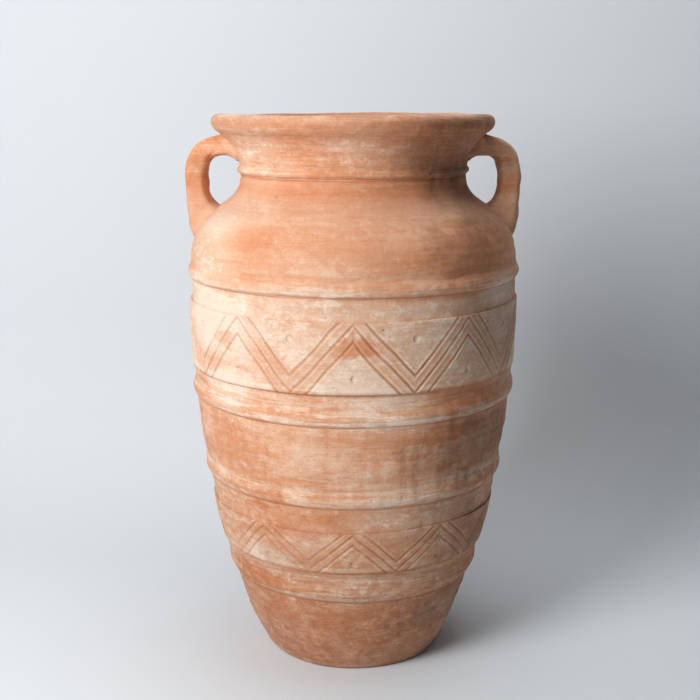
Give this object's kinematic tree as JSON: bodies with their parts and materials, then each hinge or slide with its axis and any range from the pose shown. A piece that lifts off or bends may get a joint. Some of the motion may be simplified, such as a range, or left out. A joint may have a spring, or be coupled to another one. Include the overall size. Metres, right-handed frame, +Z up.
{
  "type": "two-handled terracotta amphora",
  "caption": "Tall wide-shouldered clay jar with a flared neck, rolled rim, two strap handles from the neck to the shoulder, applied rings and incised zigzag friezes",
  "frame": {"origin": "the centre of the base, on the surface that the jar stands on", "axes": "+Z up along the jar's axis; the handles stand on -X (left) and +X (right); the side seen first faces -Y"},
  "size_m": [0.6108, 0.6104, 1.0004],
  "materials": {
    "terracotta": "matte unglazed orange-tan terracotta with horizontal wiping marks and thin pale residue",
    "washed_terracotta": "the same matte terracotta under a chalky cream wash that is wiped off the high places"
  },
  "bodies": {
    "root": {"floor_slab": "terracotta", "foot_wall": "terracotta", "lower_wall": "terracotta", "waist_wall": "terracotta", "belly_wall": "terracotta", "belt_wall": "terracotta", "frieze_wall": "terracotta", "upper_body_wall": "terracotta", "shoulder_base_wall": "terracotta", "shoulder_wall": "terracotta", "collar_wall": "terracotta", "neck_wall": "terracotta", "rim_roll": "terracotta", "foot_ring": "washed_terracotta", "waist_ring": "washed_terracotta", "belt_ring": "washed_terracotta", "shoulder_ring": "washed_terracotta", "neck_ring": "washed_terracotta", "lower_frieze": "washed_terracotta", "upper_frieze": "washed_terracotta", "left_handle": "terracotta", "right_handle": "terracotta", "left_upper_luting": "terracotta", "left_lower_luting": "terracotta", "right_upper_luting": "terracotta", "right_lower_luting": "terracotta"}
  },
  "joints": []
}
